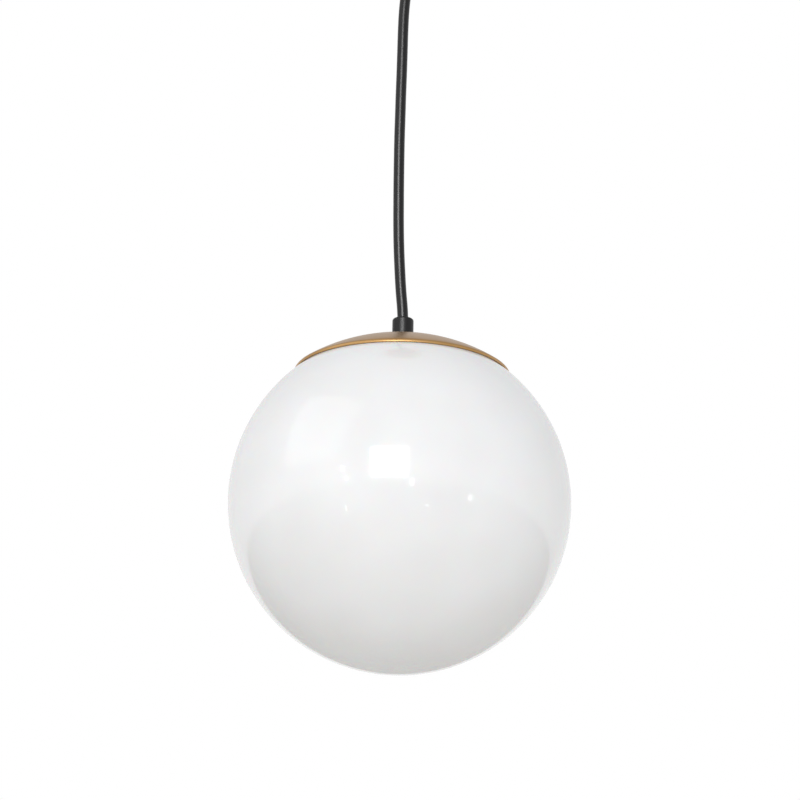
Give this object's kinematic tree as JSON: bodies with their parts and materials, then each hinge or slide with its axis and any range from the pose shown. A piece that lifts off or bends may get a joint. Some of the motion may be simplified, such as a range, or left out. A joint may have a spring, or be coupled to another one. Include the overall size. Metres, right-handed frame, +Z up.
{
  "type": "pendant ceiling light",
  "caption": "Opal glass globe under a domed brass cap, hung by a black cord from a brass ceiling rose, with spring clips for the glass and a screw-in bulb.",
  "frame": {"origin": "centre of the mounting bar's ceiling face, midway between the two ceiling screws", "axes": "+Z up into the ceiling, +X along the mounting bar, -Y towards the viewer of the front; the light hangs below z = 0"},
  "size_m": [0.2499, 0.25, 0.619],
  "materials": {
    "brass": "spun sheet with a satin brushed face under clear lacquer",
    "brass_fittings": "turned and threaded, bright",
    "black_nylon": "moulded, fine satin texture",
    "cord_pvc": "extruded sheath, low sheen",
    "opal_glass": "blown opal glass, polished outside",
    "zinc_steel": "bright zinc plated",
    "spring_steel": "rolled strip, satin",
    "silicone": "clear silicone, frosted",
    "white_nylon": "moulded, natural white",
    "phenolic": "moulded, semi-gloss",
    "ceramic": "glazed white ceramic",
    "copper_alloy": "pressed sheet",
    "nickel_brass": "rolled thread, nickel plated",
    "black_glass": "fused black insulator",
    "bulb_glass": "inside-frosted white",
    "core_brown": "extruded insulation",
    "core_blue": "extruded insulation",
    "core_green": "extruded insulation, green with a yellow stripe"
  },
  "bodies": {
    "ceiling": {"mounting_bar": "zinc_steel", "earth_screw": "brass_fittings", "rose": "brass", "rose_side_screws": "brass", "rose_tube": "brass_fittings", "rose_washer": "zinc_steel", "rose_nut": "brass_fittings", "rose_grip": "black_nylon", "rose_grip_screw": "black_nylon", "cord_tail": "cord_pvc", "terminal_block": "white_nylon", "terminal_screws": "zinc_steel", "live_wire": "core_brown", "neutral_wire": "core_blue", "earth_wire": "core_green", "bar_earth_wire": "core_green"},
    "cord": {"cord": "cord_pvc"},
    "lamp": {"lamp_grip": "black_nylon", "lamp_grip_screw": "black_nylon", "lamp_lead": "cord_pvc", "lamp_live_core": "core_brown", "lamp_neutral_core": "core_blue", "lamp_earth_core": "core_green", "lamp_tube": "brass_fittings", "cap": "brass", "cap_washer": "zinc_steel", "cap_nut": "brass_fittings", "seat_ring": "silicone", "clip_plate": "zinc_steel", "plate_nuts": "brass_fittings", "leaf_clips": "spring_steel", "clip_rivets": "zinc_steel", "plate_earth_screw": "brass_fittings", "holder_cap": "phenolic", "holder_shell": "phenolic", "holder_insulator": "ceramic", "holder_terminals": "brass_fittings", "screw_shell": "copper_alloy", "centre_contact": "copper_alloy"},
    "globe": {"globe": "opal_glass"},
    "bulb_tip": {"bulb_contact": "nickel_brass"},
    "bulb": {"bulb_insulator": "black_glass", "bulb_base": "nickel_brass", "bulb_envelope": "bulb_glass"}
  },
  "joints": [
    {"name": "pendant_swing", "type": "hinge", "parent": "ceiling", "child": "cord", "pos_m": [0, 0, -0.044], "axis": [0, 1, 0], "range_deg": [-12, 12]},
    {"name": "lamp_tilt", "type": "hinge", "parent": "cord", "child": "lamp", "pos_m": [0, 0, -0.354], "axis": [1, 0, 0], "range_deg": [-8, 8]},
    {"name": "globe_drop", "type": "slide", "parent": "lamp", "child": "globe", "axis": [0, 0, -1], "range_m": [0, 0.2], "deforming": ["leaf_clips"]},
    {"name": "bulb_travel", "type": "slide", "parent": "lamp", "child": "bulb_tip", "axis": [0, 0, -1], "range_m": [0, 0.0255]},
    {"name": "bulb_turn", "type": "hinge", "parent": "bulb_tip", "child": "bulb", "pos_m": [0, 0, -0.444], "axis": [0, 0, -1], "range_deg": [0, 2520]}
  ],
  "couplings": [
    {"joint": "bulb_travel", "follows": "bulb_turn", "m_per_rad": 0.00057757}
  ]
}
